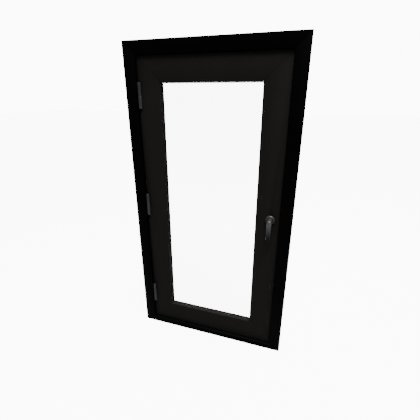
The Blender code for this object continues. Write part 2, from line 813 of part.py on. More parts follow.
def drive_pin_angle():
    """The drive pins sit half the quarter turn before level when the lever hangs down."""
    return math.radians(45)


def build_follower():
    """The square-bored follower, with two arms whose pins drive the rods."""
    follower = rod(
        "lock_follower",
        (HANDLE_X, FOLLOWER_Y, HANDLE_HEIGHT),
        (HANDLE_X, FOLLOWER_Y + FOLLOWER_THICK, HANDLE_HEIGHT),
        FOLLOWER_RADIUS,
        "bright_steel",
    )
    arm_half = Vector((CRANK + DRIVE_PIN_RADIUS + MM, FOLLOWER_THICK / 2, DRIVE_PIN_RADIUS + MM))
    arms = box("lock_follower_arms", -arm_half, arm_half)
    centre = Vector((HANDLE_X, FOLLOWER_Y + FOLLOWER_THICK / 2, HANDLE_HEIGHT))
    turn = Matrix.Rotation(-drive_pin_angle(), 4, "Y")
    arms.matrix_world = Matrix.Translation(centre) @ turn
    join(follower, arms)
    for side in (-1, 1):
        pin_x = HANDLE_X + side * CRANK * math.cos(drive_pin_angle())
        pin_z = HANDLE_HEIGHT + side * CRANK * math.sin(drive_pin_angle())
        pin = rod(
            f"lock_follower_pin_{side}",
            (pin_x, FOLLOWER_Y + MM, pin_z),
            (pin_x, TAIL_Y + TAIL_THICK, pin_z),
            DRIVE_PIN_RADIUS,
            None,
            16,
        )
        join(follower, pin)
    half = SPINDLE / 2 + GAP
    square = box(
        "lock_follower_square",
        (HANDLE_X - half, FOLLOWER_Y - MM, HANDLE_HEIGHT - half),
        (HANDLE_X + half, FOLLOWER_Y + FOLLOWER_THICK + MM, HANDLE_HEIGHT + half),
    )
    cut(follower, square)


def tail_outline(side):
    """A rod's forked tail plate, as (x, z) points from its free end round to the rod."""
    slot_z = HANDLE_HEIGHT + side * ROD_THROW / 2
    near_x = ROD_X + ROD_THICK / 2
    if side > 0:
        far_x = HANDLE_X + SPINDLE / math.sqrt(2) + MM
        return [
            (far_x, slot_z - TAIL_HALF),
            (near_x, slot_z - TAIL_HALF),
            (near_x, slot_z + 3 * TAIL_HALF),
            (ROD_X - ROD_THICK / 2, slot_z + 3 * TAIL_HALF),
            (ROD_X - ROD_THICK / 2, slot_z + TAIL_HALF),
            (far_x, slot_z + TAIL_HALF),
        ]
    far_x = HANDLE_X - CRANK - TAIL_HALF
    arm_right = HANDLE_X - SPINDLE / math.sqrt(2) - 1.5 * MM
    foot_low = TAIL_FOOT_TOP - TAIL_FOOT
    return [
        (far_x, slot_z + TAIL_HALF),
        (far_x, foot_low),
        (near_x, foot_low),
        (near_x, TAIL_FOOT_TOP),
        (arm_right, TAIL_FOOT_TOP),
        (arm_right, slot_z + TAIL_HALF),
    ]


def build_rod(name, side):
    """A lock rod: a strip behind the faceplate, its forked tail in the case, and its cam."""
    outline = [(x - HANDLE_X, z - HANDLE_HEIGHT) for x, z in tail_outline(side)]
    tail_middle = TAIL_Y + TAIL_THICK / 2
    piece = flat_solid(
        "lock_rod_" + name,
        outline,
        TAIL_THICK,
        "bright_steel",
        facing_room(HANDLE_X, tail_middle, HANDLE_HEIGHT),
    )
    tail_end = max(abs(z) for _, z in outline)
    start = HANDLE_HEIGHT + side * (tail_end - 4 * MM)
    end = HANDLE_HEIGHT + side * (CAM_REACH + 2 * CAM_RADIUS)
    strip = box(
        f"lock_rod_{name}_strip",
        (ROD_X - ROD_THICK / 2, TAIL_Y, min(start, end)),
        (ROD_X + ROD_THICK / 2, TAIL_Y + ROD_WIDTH / 2, max(start, end)),
    )
    slot_z = HANDLE_HEIGHT + side * ROD_THROW / 2
    tall = DRIVE_PIN_RADIUS + DRIVE_PLAY
    inner = HANDLE_X + side * (CRANK * math.cos(drive_pin_angle()) - tall)
    outer = HANDLE_X + side * (CRANK + tall)
    slot = box(
        f"lock_rod_{name}_slot",
        (min(inner, outer), TAIL_Y - MM, slot_z - tall),
        (max(inner, outer), TAIL_Y + TAIL_THICK + MM, slot_z + tall),
    )
    join(piece, strip)
    cut(piece, slot)
    build_cam(name, side)


def build_cam(name, side):
    """A mushroom-headed cam that stands out of the rod through the faceplate."""
    foot_x = ROD_X + ROD_THICK / 2 + GAP
    reach = CHANNEL_X + CAM_PROUD - foot_x
    head = 3 * MM
    turned(
        "lock_cam_" + name,
        [
            (0, reach),
            (CAM_RADIUS - 0.6 * MM, reach),
            (CAM_RADIUS, reach - 0.6 * MM),
            (CAM_RADIUS, reach - head),
            (CAM_SHANK, reach - head),
            (CAM_SHANK, 0),
            (0, 0),
        ],
        "bright_steel",
        Matrix.Translation((foot_x, LOCK_Y, HANDLE_HEIGHT + side * CAM_REACH))
        @ Matrix.Rotation(math.radians(90), 4, "Y"),
        24,
    )


def build_faceplate(stile):
    """The long strip over the rods, let into the lock edge behind the lip."""
    half = FACEPLATE_LENGTH / 2
    low = (CHANNEL_X - FACEPLATE_THICK, LOCK_Y - FACEPLATE_WIDTH / 2, HANDLE_HEIGHT - half)
    high = (CHANNEL_X, LOCK_Y + FACEPLATE_WIDTH / 2, HANDLE_HEIGHT + half)
    plate = box("lock_faceplate", low, high, "bright_steel")
    seat_low, seat_high = grown(low, (CHANNEL_X + MM, high[1], high[2]))
    rod_reach = CAM_REACH + 2 * CAM_RADIUS + MM
    groove = box(
        "rod_groove",
        (ROD_X - ROD_THICK / 2 - GAP, LOCK_Y - ROD_WIDTH / 2, HANDLE_HEIGHT - rod_reach),
        (CHANNEL_X + MM, LOCK_Y + ROD_WIDTH / 2, HANDLE_HEIGHT + rod_reach),
    )
    cut(stile, box("faceplate_seat", seat_low, seat_high), groove)
    wide = CAM_SHANK + 2 * GAP
    for name, side in (("upper", 1), ("lower", -1)):
        rest = HANDLE_HEIGHT + side * CAM_REACH
        moved = rest - side * ROD_THROW
        slot = box(
            f"cam_slot_{name}",
            (low[0] - MM, LOCK_Y - wide, min(rest, moved) - wide),
            (high[0] + MM, LOCK_Y + wide, max(rest, moved) + wide),
        )
        cut(plate, slot)


def build_keeps():
    """A keep for each cam: a plate on the jamb and a wall behind the cam, open to the room."""
    reveal_x = FRAME_WIDTH / 2 - FACE
    foot_x = reveal_x - GAP
    tip_x = CHANNEL_X + CAM_PROUD - 5 * MM
    wall_y = LOCK_Y + CAM_RADIUS + MM
    for name, side in (("upper", 1), ("lower", -1)):
        centre = HANDLE_HEIGHT + side * CAM_REACH
        low_z = centre - KEEP_LENGTH / 2
        high_z = centre + KEEP_LENGTH / 2
        plate_front = LOCK_Y - 3 * MM
        keep = box(
            "keep_" + name,
            (foot_x - KEEP_THICK, plate_front, low_z),
            (foot_x, wall_y + KEEP_THICK, high_z),
            "bright_steel",
        )
        wall = box(
            f"keep_{name}_wall",
            (tip_x, wall_y, low_z),
            (foot_x - KEEP_THICK / 2, wall_y + KEEP_THICK, high_z),
        )
        join(keep, wall)


def new_pivot(name, place):
    """An empty on a joint's axis, for the pieces that turn about it to hang from."""
    pivot = bpy.data.objects.new(name, None)
    pivot.location = place
    WINDOW.objects.link(pivot)
    return pivot


def hang(piece, pivot, place):
    """Parents a piece, and whatever cuts or joins it, to a pivot without moving them."""
    piece.parent = pivot
    piece.matrix_parent_inverse = Matrix.Translation(place).inverted()
    for step in piece.modifiers:
        if step.type == "BOOLEAN":
            hang(step.object, pivot, place)


def hang_moving_pieces():
    """The sash turns about the hinge pins, and the handle about its spindle on the sash."""
    sash_pivot = new_pivot("sash_pivot", HINGE_PLACE)
    handle_pivot = new_pivot("handle_pivot", HANDLE_PLACE)
    hang(handle_pivot, sash_pivot, HINGE_PLACE)
    turned_by_handle = ("handle_lever", "handle_spindle", "lock_follower")
    fixed = ("frame_", "seal_", "keep_")
    for piece in [piece for piece in WINDOW.objects if piece.type == "MESH"]:
        if piece.name in turned_by_handle:
            hang(piece, handle_pivot, HANDLE_PLACE)
        elif not piece.name.startswith(fixed) and not piece.name.endswith(("_frame_half", "_pin")):
            hang(piece, sash_pivot, HINGE_PLACE)


def weld_cut_edges():
    """Merges the points that Booleans leave almost on top of each other."""
    for piece in WINDOW.objects:
        if any(step.type == "BOOLEAN" for step in piece.modifiers):
            weld = piece.modifiers.new("weld", "WELD")
            weld.merge_threshold = WELD_DISTANCE


jamb_left, jamb_right = build_frame()
build_seals()
hinge_stile, lock_stile = build_sash()
build_glazing()
for hinge_name, hinge_height in HINGE_HEIGHTS.items():
    build_hinge("hinge_" + hinge_name, hinge_height, jamb_left, hinge_stile)
build_handle(lock_stile)
build_case(lock_stile)
build_follower()
build_rod("upper", 1)
build_rod("lower", -1)
build_faceplate(lock_stile)
build_keeps()
hang_moving_pieces()
weld_cut_edges()
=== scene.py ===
"""Finish, light and camera for an inward-opening casement window.

The timber members keep their shape and get softened arrises. The lever, the rosette
and the hinge barrels are modelled afresh in the places that the frame gives them.
"""

import json
import math

import bpy
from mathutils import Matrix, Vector


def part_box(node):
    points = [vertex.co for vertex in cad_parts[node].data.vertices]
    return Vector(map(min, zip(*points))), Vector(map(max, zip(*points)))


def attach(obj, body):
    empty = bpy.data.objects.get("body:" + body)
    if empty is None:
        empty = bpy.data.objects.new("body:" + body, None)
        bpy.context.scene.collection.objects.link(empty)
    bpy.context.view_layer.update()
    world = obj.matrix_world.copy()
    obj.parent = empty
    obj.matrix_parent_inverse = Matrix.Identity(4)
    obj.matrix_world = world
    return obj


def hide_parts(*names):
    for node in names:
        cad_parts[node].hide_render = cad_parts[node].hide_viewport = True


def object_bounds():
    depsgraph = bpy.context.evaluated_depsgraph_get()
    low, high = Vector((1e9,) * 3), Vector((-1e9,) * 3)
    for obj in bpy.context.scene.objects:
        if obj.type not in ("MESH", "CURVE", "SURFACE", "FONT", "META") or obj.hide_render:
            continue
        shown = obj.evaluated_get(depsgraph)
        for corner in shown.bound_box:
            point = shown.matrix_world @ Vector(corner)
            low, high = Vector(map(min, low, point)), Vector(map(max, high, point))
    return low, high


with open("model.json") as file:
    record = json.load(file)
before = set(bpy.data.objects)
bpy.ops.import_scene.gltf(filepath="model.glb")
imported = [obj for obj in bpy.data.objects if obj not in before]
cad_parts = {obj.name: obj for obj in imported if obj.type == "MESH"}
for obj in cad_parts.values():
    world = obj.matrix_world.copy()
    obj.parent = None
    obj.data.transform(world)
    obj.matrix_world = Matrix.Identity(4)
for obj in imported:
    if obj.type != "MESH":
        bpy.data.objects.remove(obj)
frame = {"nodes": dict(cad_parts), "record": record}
SIZE_AT_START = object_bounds()

MM = 0.001
ROOM = Vector((0, -1, 0))

FRAME_MEMBERS = {
    "frame_jamb_left": "upright",
    "frame_jamb_right": "upright",
    "frame_head": "level",
    "frame_sill": "level",
}
SASH_MEMBERS = {
    "sash_stile_hinge": "upright",
    "sash_stile_lock": "upright",
    "sash_rail_top": "level",
    "sash_rail_bottom": "level",
    "bead_left": "upright",
    "bead_right": "upright",
    "bead_top": "level",
    "bead_bottom": "level",
}
HINGES = ("top", "middle", "bottom")
SEALS = ("seal_head", "seal_left", "seal_right", "seal_sill")

ARRIS = 0.8 * MM
FITTING_ARRIS = 0.3 * MM
MERGE_REACH = 0.01 * MM         # corners nearer than this are one corner
SMOOTH_ANGLE = math.radians(35)

FILLET_SIZE = 2.2 * MM
FILLET_LIP = 0.5 * MM
FILLET_GAP = 0.1 * MM           # clear of the glass and the timber

SASH_PINTLE_TURN = math.radians(60)
PINTLE_RADIUS = 3 * MM
BORE_RADIUS = 3.08 * MM         # round the hinge's pin
CAP_HEIGHT = 6 * MM
CAP_GROOVE_WIDTH = 0.9 * MM
CAP_GROOVE_DEPTH = 0.35 * MM

ROSETTE_RIM = 0.58              # where the straight rim ends, as a share of the height
ROSETTE_WALL = 1.2 * MM
ROSETTE_STEPS = (               # inwards and outwards, from the rim to the lever's neck
    (0.5 * MM, 1.2 * MM),
    (1.1 * MM, 1.3 * MM),
    (1.4 * MM, 0.8 * MM),
    (1.6 * MM, 0.3 * MM),
    (0.5 * MM, -0.7 * MM),
    (1.2 * MM, 0.0),
    (0.5 * MM, 0.7 * MM),
    (1.5 * MM, 0.1 * MM),
)

LEVER_DEPTH = 10 * MM           # with the boss's dome
LEVER_ARRIS = 2.6 * MM
LEVER_TAPER = ((0.5, 0.96), (0.5, 0.98))  # share of the drop, and width against the step before
NECK_RADIUS = 8 * MM
NECK_WAIST = 0.8                # of the neck's radius
BOSS_DOME = 1.4 * MM
BOSS_RADIUS = 6.4 * MM

SCREW_RADIUS = 2.6 * MM
SCREW_DEPTH = 1.2 * MM
SCREW_RIM = 0.3 * MM
SCREW_CROWN = 0.12 * MM
RECESS_LENGTH = 2.8 * MM
RECESS_WIDTH = 0.6 * MM
RECESS_BLOCK = 1.2 * MM         # cuts the recess with half its size
FACEPLATE_SCREWS = 5
FACEPLATE_MARGIN = 15 * MM      # from the plate's end to its first screw
KEEP_PLATE = 2.5 * MM           # from the keep's back to its plate's face
KEEP_SCREW_MARGIN = 8 * MM
KEEP_SCREW_INSET = 4.5 * MM
KEEP_SCREW_PROUD = 0.05 * MM


# ---------------------------------------------------------------- edit helpers


def pick_only(piece):
    """Makes one object the active and only selected one."""
    if bpy.context.object and bpy.context.object.mode != "OBJECT":
        bpy.ops.object.mode_set(mode="OBJECT")
    bpy.ops.object.select_all(action="DESELECT")
    piece.select_set(True)
    bpy.context.view_layer.objects.active = piece


def start_edit(piece, kind="FACE"):
    pick_only(piece)
    bpy.ops.object.mode_set(mode="EDIT")
    bpy.ops.mesh.select_mode(type=kind)
    bpy.ops.mesh.select_all(action="DESELECT")


def pick_parts(piece, kind, wanted):
    """Selects the vertices or faces for which wanted(centre, normal) holds, in edit mode."""
    bpy.ops.mesh.select_all(action="DESELECT")
    bpy.ops.mesh.select_mode(type=kind)
    bpy.ops.object.mode_set(mode="OBJECT")
    if kind == "VERT":
        for corner in piece.data.vertices:
            corner.select = wanted(corner.co, corner.normal)
    else:
        for face in piece.data.polygons:
            face.select = wanted(face.center, face.normal)
    bpy.ops.object.mode_set(mode="EDIT")


def end_edit():
    bpy.ops.mesh.select_all(action="SELECT")
    bpy.ops.mesh.remove_doubles(threshold=MERGE_REACH)
    bpy.ops.mesh.normals_make_consistent(inside=False)
    bpy.ops.object.mode_set(mode="OBJECT")


def settle(piece):
    """Puts the piece's place into its mesh, so that its object sits at the origin."""
    pick_only(piece)
    bpy.ops.object.transform_apply(location=True, rotation=True, scale=True)


def apply_all(piece):
    pick_only(piece)
    for step in list(piece.modifiers):
        bpy.ops.object.modifier_apply(modifier=step.name)


def soften(piece, width, segments=2, angle=30):
    """Rounds the sharp edges and shades the piece smooth between them."""
    bevel = piece.modifiers.new("arris", "BEVEL")
    bevel.width = width
    bevel.segments = segments
    bevel.limit_method = "ANGLE"
    bevel.angle_limit = math.radians(angle)
    bevel.use_clamp_overlap = True
    apply_all(piece)
    bpy.ops.object.shade_smooth_by_angle(angle=SMOOTH_ANGLE)


def combine(piece, other, operation):
    """Joins another closed shape into this one or cuts it out, and removes the other."""
    step = piece.modifiers.new("combine", "BOOLEAN")
    step.operation = operation
    step.solver = "EXACT"
    step.object = other
    apply_all(piece)
    bpy.data.objects.remove(other)


def dress(piece, material, slot, body, *nodes):
    """Gives a finished piece its material, its body and what it stands for; slot is not used."""
    piece.data.materials.clear()
    piece.data.materials.append(material)
    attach(piece, body)
    if nodes:
        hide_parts(*nodes)
    return piece


def body_of(node):
    for body, members in frame["record"]["behaviour"]["bodies"].items():
        if node in members:
            return body
    raise ValueError(node)


# ---------------------------------------------------------------- materials


def link(tree, source, output, target, socket):
    tree.links.new(source.outputs[output], target.inputs[socket])


def add_node(tree, kind, place, **values):
    node = tree.nodes.new(kind)
    node.location = place
    for name, value in values.items():
        setattr(node, name, value)
    return node


def brush_marks_group():
    """Fine marks drawn along one direction: a height for a bump and a mask for roughness."""
    group = bpy.data.node_groups.new("brush_marks", "ShaderNodeTree")
    for name, kind in (("Along", "NodeSocketVector"), ("Detail", "NodeSocketFloat")):
        group.interface.new_socket(name, in_out="INPUT", socket_type=kind)
    for name in ("Height", "Mask"):
        group.interface.new_socket(name, in_out="OUTPUT", socket_type="NodeSocketFloat")
    start = add_node(group, "NodeGroupInput", (-900, 0))
    end = add_node(group, "NodeGroupOutput", (500, 0))
    place = add_node(group, "ShaderNodeTexCoord", (-900, 200))
    stretch = add_node(group, "ShaderNodeVectorMath", (-650, 100), operation="MULTIPLY")
    marks = add_node(group, "ShaderNodeTexNoise", (-400, 100))
    marks.inputs["Scale"].default_value = 1.0
    marks.inputs["Roughness"].default_value = 0.6
    cloud = add_node(group, "ShaderNodeTexNoise", (-400, -200))
    cloud.inputs["Scale"].default_value = 9.0
    cloud.inputs["Detail"].default_value = 3.0
    spread = add_node(group, "ShaderNodeMapRange", (-100, -200))
    spread.inputs["From Min"].default_value = 0.35
    spread.inputs["From Max"].default_value = 0.65
    link(group, place, "Object", stretch, 0)
    link(group, start, "Along", stretch, 1)
    link(group, stretch, "Vector", marks, "Vector")
    link(group, start, "Detail", marks, "Detail")
    link(group, place, "Object", cloud, "Vector")
    link(group, cloud, "Fac", spread, "Value")
    link(group, marks, "Fac", end, "Height")
    link(group, spread, "Result", end, "Mask")
    return group


def painted_height_shade_group():
    """A mask for painted light and shade that goes from one at the upper height to zero at the
    lower height.
    """
    group = bpy.data.node_groups.new("painted_height_shade", "ShaderNodeTree")
    for name in ("Lower", "Upper"):
        group.interface.new_socket(name, in_out="INPUT", socket_type="NodeSocketFloat")
    group.interface.new_socket("Mask", in_out="OUTPUT", socket_type="NodeSocketFloat")
    start = add_node(group, "NodeGroupInput", (-600, 0))
    end = add_node(group, "NodeGroupOutput", (300, 0))
    place = add_node(group, "ShaderNodeTexCoord", (-600, 200))
    split = add_node(group, "ShaderNodeSeparateXYZ", (-400, 200))
    painted_shade = add_node(group, "ShaderNodeMapRange", (0, 0), interpolation_type="SMOOTHSTEP")
    link(group, place, "Object", split, "Vector")
    link(group, split, "Z", painted_shade, "Value")
    link(group, start, "Lower", painted_shade, "From Min")
    link(group, start, "Upper", painted_shade, "From Max")
    link(group, painted_shade, "Result", end, "Mask")
    return group


def painted_top_light_group():
    """A mask of painted light for the faces that look up, broken up by a slow cloud."""
    group = bpy.data.node_groups.new("painted_top_light", "ShaderNodeTree")
    for name in ("Least", "Most"):
        group.interface.new_socket(name, in_out="INPUT", socket_type="NodeSocketFloat")
    group.interface.new_socket("Mask", in_out="OUTPUT", socket_type="NodeSocketFloat")
    start = add_node(group, "NodeGroupInput", (-600, -200))
    end = add_node(group, "NodeGroupOutput", (600, 0))
    place = add_node(group, "ShaderNodeTexCoord", (-900, 100))
    split = add_node(group, "ShaderNodeSeparateXYZ", (-600, 200))
    upward = add_node(group, "ShaderNodeMapRange", (-300, 200))
    upward.inputs["From Min"].default_value = 0.5
    upward.inputs["From Max"].default_value = 0.9
    cloud = add_node(group, "ShaderNodeTexNoise", (-600, 0))
    cloud.inputs["Scale"].default_value = 25.0
    amount = add_node(group, "ShaderNodeMapRange", (-300, -100))
    both = add_node(group, "ShaderNodeMath", (100, 100), operation="MULTIPLY")
    link(group, place, "Normal", split, "Vector")
    link(group, split, "Z", upward, "Value")
    link(group, place, "Object", cloud, "Vector")
    link(group, cloud, "Fac", amount, "Value")
    link(group, start, "Least", amount, "To Min")
    link(group, start, "Most", amount, "To Max")
    link(group, upward, "Result", both, 0)
    link(group, amount, "Result", both, 1)
    link(group, both, "Value", end, "Mask")
    return group


BRUSH_MARKS = brush_marks_group()
PAINTED_TOP_LIGHT = painted_top_light_group()
PAINTED_HEIGHT_SHADE = painted_height_shade_group()


def new_material(name, colour, roughness, metallic=0.0, specular=0.5):
    material = bpy.data.materials.new(name)
    material.use_nodes = True
    shader = material.node_tree.nodes["Principled BSDF"]
    shader.inputs["Base Color"].default_value = (*colour, 1)
    shader.inputs["Roughness"].default_value = roughness
    shader.inputs["Metallic"].default_value = metallic
    shader.inputs["Specular IOR Level"].default_value = specular
    return material, material.node_tree, shader


def add_marks(tree, shader, along, rough, bump_strength, bump_height, detail=4.0):
    """Feeds brush marks into a shader's roughness and normal."""
    marks = add_node(tree, "ShaderNodeGroup", (-700, 0))
    marks.node_tree = BRUSH_MARKS
    marks.inputs["Along"].default_value = along
    marks.inputs["Detail"].default_value = detail
    spread = add_node(tree, "ShaderNodeMapRange", (-400, 100))
    spread.inputs["To Min"].default_value = rough[0]
    spread.inputs["To Max"].default_value = rough[1]
    bump = add_node(tree, "ShaderNodeBump", (-400, -200))
    bump.inputs["Strength"].default_value = bump_strength
    bump.inputs["Distance"].default_value = bump_height
    link(tree, marks, "Mask", spread, "Value")
    link(tree, spread, "Result", shader, "Roughness")
    link(tree, marks, "Height", bump, "Height")
    link(tree, bump, "Normal", shader, "Normal")


MIX_FACTOR = 0                  # a Mix node's sockets in its colour mode
MIX_COLOUR_A = 6
MIX_COLOUR_B = 7
MIX_COLOUR_RESULT = 2
GRAIN = {"upright": (420, 420, 14), "level": (14, 420, 420)}


def mix_tones(tree, shader, mask_node, lower, upper):
    """Sets the base colour to lower where the mask is zero and to upper where it is one."""
    tone = add_node(tree, "ShaderNodeMix", (-300, 400), data_type="RGBA")
    tone.inputs[MIX_COLOUR_A].default_value = (*lower, 1)
    tone.inputs[MIX_COLOUR_B].default_value = (*upper, 1)
    link(tree, mask_node, "Mask", tone, MIX_FACTOR)
    link(tree, tone, MIX_COLOUR_RESULT, shader, "Base Color")


def painted_timber(name, colour, top_lit_tone, specular, run):
    """Satin paint with faint brush marks along the member, and painted light on the faces that
    look up.
    """
    rough = (0.4, 0.55)
    material, tree, shader = new_material(name, colour, rough[0], 0.0, specular)
    add_marks(tree, shader, GRAIN[run], rough, 0.1, 0.1 * MM)
    # Painted light: faces that look up take a lighter tone.
    top_light = add_node(tree, "ShaderNodeGroup", (-700, 400))
    top_light.node_tree = PAINTED_TOP_LIGHT
    top_light.inputs["Least"].default_value = 0.7
    top_light.inputs["Most"].default_value = 1.0
    mix_tones(tree, shader, top_light, colour, top_lit_tone)
    return material


def coated_metal_with_painted_shade(name, upper, lower, heights):
    """A smooth sprayed coat with a faint grain, with painted light and shade fading from one tone
    to another with height.
    """
    material, tree, shader = new_material(name, upper, 0.3, 0.6, 0.12)
    add_marks(tree, shader, (2600, 2600, 2600), (0.3, 0.42), 0.12, 0.03 * MM, 2.0)
    painted_shade = add_node(tree, "ShaderNodeGroup", (-700, 400))
    painted_shade.node_tree = PAINTED_HEIGHT_SHADE
    painted_shade.inputs["Lower"].default_value = heights[0]
    painted_shade.inputs["Upper"].default_value = heights[1]
    mix_tones(tree, shader, painted_shade, lower, upper)
    return material


def heights_of(*nodes):
    """The lowest and highest level of some nodes together."""
    boxes = [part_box(node) for node in nodes]
    return min(low.z for low, _ in boxes), max(high.z for _, high in boxes)


def plated_steel(name, along):
    material, tree, shader = new_material(name, (0.2, 0.2, 0.205), 0.3, 1.0)
    add_marks(tree, shader, along, (0.24, 0.42), 0.15, 0.02 * MM)
    return material


def clear_glass():
    material, tree, shader = new_material("clear_glass", (1, 1, 1), 0.0)
    shader.inputs["Transmission Weight"].default_value = 1.0
    shader.inputs["IOR"].default_value = 1.45
    return material


def bare_plywood():
    material, tree, shader = new_material("bare_plywood", (0.45, 0.3, 0.16), 0.7)
    add_marks(tree, shader, (30, 1500, 30), (0.6, 0.8), 0.4, 0.1 * MM)
    return material


# The second colour of each paint is painted light on the faces that look up.
FRAME_PAINT = {
    run: painted_timber(
        f"frame_paint_{run}", (0.0003, 0.0003, 0.0003), (0.0016, 0.0019, 0.002), 0.01, run
    )
    for run in GRAIN
}
SASH_PAINT = {
    run: painted_timber(
        f"sash_paint_{run}", (0.004, 0.0037, 0.0034), (0.0098, 0.009, 0.0084), 0.02, run
    )
    for run in GRAIN
}
# Painted shade: each barrel is darker at its top and lighter at its foot.
HINGE_COAT_PAINTED_SHADE = {
    hinge: coated_metal_with_painted_shade(
        f"hinge_coat_painted_shade_{hinge}",
        (0.0165, 0.017, 0.0175),
        (0.022, 0.0225, 0.023),
        heights_of(f"hinge_{hinge}_frame_half", f"hinge_{hinge}_sash_half"),
    )
    for hinge in HINGES
}
# Painted highlight and reflection: light at the boss, fading to a near-black bluish tip.
LEVER_COAT_PAINTED_SHEEN = coated_metal_with_painted_shade(
    "lever_coat_painted_sheen", (0.041, 0.041, 0.04), (0.0006, 0.001, 0.0018), heights_of("handle_lever")
)
# Painted highlight: lighter on the upper half of the cover, darker below.
ROSETTE_COAT_PAINTED_SHEEN = coated_metal_with_painted_shade(
    "rosette_coat_painted_sheen", (0.026, 0.026, 0.027), (0.012, 0.012, 0.0125), heights_of("rosette_cover")
)
STEEL_UPRIGHT = plated_steel("plated_steel_upright", (3000, 3000, 60))
STEEL_TURNED = plated_steel("plated_steel_turned", (900, 900, 900))
SPACER_METAL = new_material("spacer_metal", (0.05, 0.05, 0.05), 0.5, 0.6, 0.2)[0]
RUBBER = new_material("seal_rubber", (0.004, 0.004, 0.004), 0.75, 0.0, 0.1)[0]
BLOCK_PLASTIC = new_material("block_plastic", (0.02, 0.02, 0.02), 0.6)[0]
GLASS = clear_glass()
PLYWOOD = bare_plywood()


# ---------------------------------------------------------------- timber and flat pieces


def eased_copy(node, material, slot, width, segments=2):
    """A copy of a member with its faces merged flat and its arrises rounded."""
    source = frame["nodes"][node]
    piece = bpy.data.objects.new(node + "_finished", source.data.copy())
    bpy.context.scene.collection.objects.link(piece)
    start_edit(piece)
    bpy.ops.mesh.select_all(action="SELECT")
    bpy.ops.mesh.remove_doubles(threshold=MERGE_REACH)
    bpy.ops.mesh.dissolve_limited(angle_limit=math.radians(0.5))
    bpy.ops.object.mode_set(mode="OBJECT")
    soften(piece, width, segments)
    return dress(piece, material, slot, body_of(node), node)


def finish_timber():
    for node, run in FRAME_MEMBERS.items():
        eased_copy(node, FRAME_PAINT[run], "frame_paint", ARRIS)
    for node, run in SASH_MEMBERS.items():
        eased_copy(node, SASH_PAINT[run], "sash_paint", ARRIS / 2)


def repaint(node, material):
    """A node that keeps its own mesh and takes a better material."""
    piece = frame["nodes"][node]
    piece.data.materials.clear()
    piece.data.materials.append(material)


def finish_plain_nodes():
    for node in SEALS + ("glazing_tape",):
        repaint(node, RUBBER)
    for node in ("glass_inner", "glass_outer"):
        repaint(node, GLASS)
    repaint("glass_spacer", SPACER_METAL)
    for node in frame["nodes"]:
        if "_tongue_" in node:
            repaint(node, PLYWOOD)
        elif node.startswith("setting_block"):
            repaint(node, BLOCK_PLASTIC)
        elif node.endswith("_pin") or node.startswith(("rosette_screw", "lock_cam")):
            repaint(node, STEEL_TURNED)
    for node in (
        "rosette_plate",
        "handle_spindle",
        "lock_follower",
        "lock_case",
        "lock_cover",
        "lock_rod_upper",
        "lock_rod_lower",
    ):
        repaint(node, STEEL_UPRIGHT)
    for node in ("lock_faceplate", "keep_upper", "keep_lower"):
        eased_copy(node, STEEL_UPRIGHT, "bright_steel", FITTING_ARRIS)


def finish_glazing_fillet():
    """The bead of black sealant in the corner between the glass and the sash, room side."""
    stile_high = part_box("sash_stile_hinge")[1]
    right_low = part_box("sash_stile_lock")[0]
    bottom_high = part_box("sash_rail_bottom")[1]
    top_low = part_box("sash_rail_top")[0]
    glass_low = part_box("glass_inner")[0]
    left, right = stile_high.x + FILLET_GAP, right_low.x - FILLET_GAP
    bottom, top = bottom_high.z + FILLET_GAP, top_low.z - FILLET_GAP
    back = glass_low.y - FILLET_GAP
    bpy.ops.object.select_all(action="DESELECT")
    bpy.ops.mesh.primitive_plane_add(
        size=1,
        location=((left + right) / 2, back, (bottom + top) / 2),
        rotation=(math.radians(90), 0, 0),
    )
    fillet = bpy.context.object
    fillet.name = "glazing_fillet"
    fillet.data.name = fillet.name
    fillet.scale = (right - left, top - bottom, 1)
    settle(fillet)
    start_edit(fillet)
    bpy.ops.mesh.select_all(action="SELECT")
    bpy.ops.mesh.inset(thickness=FILLET_SIZE, use_even_offset=True)
    bpy.ops.mesh.delete(type="FACE")
    bpy.ops.mesh.select_all(action="SELECT")
    bpy.ops.mesh.extrude_region_move(TRANSFORM_OT_translate={"value": (0, -FILLET_SIZE, 0)})

    def front_inner(point, normal):
        inside_x = left + FILLET_SIZE / 2 < point.x < right - FILLET_SIZE / 2
        inside_z = bottom + FILLET_SIZE / 2 < point.z < top - FILLET_SIZE / 2
        return point.y < back - FILLET_SIZE / 2 and inside_x and inside_z

    pick_parts(fillet, "VERT", front_inner)
    bpy.ops.transform.translate(value=(0, FILLET_SIZE - FILLET_LIP, 0))
    end_edit()
    dress(fillet, RUBBER, "seal_rubber", "sash")


# ---------------------------------------------------------------- hinges


def turned_blank(name, radius, low, high, segments=64):
    """A cylinder about the point low, reaching to the point high."""
    along = high - low
    turn = along.to_track_quat("Z", "Y").to_euler()
    bpy.ops.object.select_all(action="DESELECT")
    bpy.ops.mesh.primitive_cylinder_add(
        vertices=segments,
        radius=radius,
        depth=along.length,
        location=(low + high) / 2,
        rotation=turn,
    )
    blank = bpy.context.object
    blank.name = name
    blank.data.name = name
    settle(blank)
    return blank


def groove_ring(piece, centre, level, width, depth, radius):
    """Presses a fine groove round an upright barrel at a height."""
    for cut_at in (level - width / 2, level, level + width / 2):
        bpy.ops.mesh.select_all(action="SELECT")
        bpy.ops.mesh.bisect(plane_co=(centre.x, centre.y, cut_at), plane_no=(0, 0, 1))
    pick_parts(piece, "VERT", lambda point, normal: abs(point.z - level) < width / 10)
    share = (radius - depth) / radius
    bpy.ops.transform.resize(
        value=(share, share, 1), center_override=(centre.x, centre.y, level)
    )


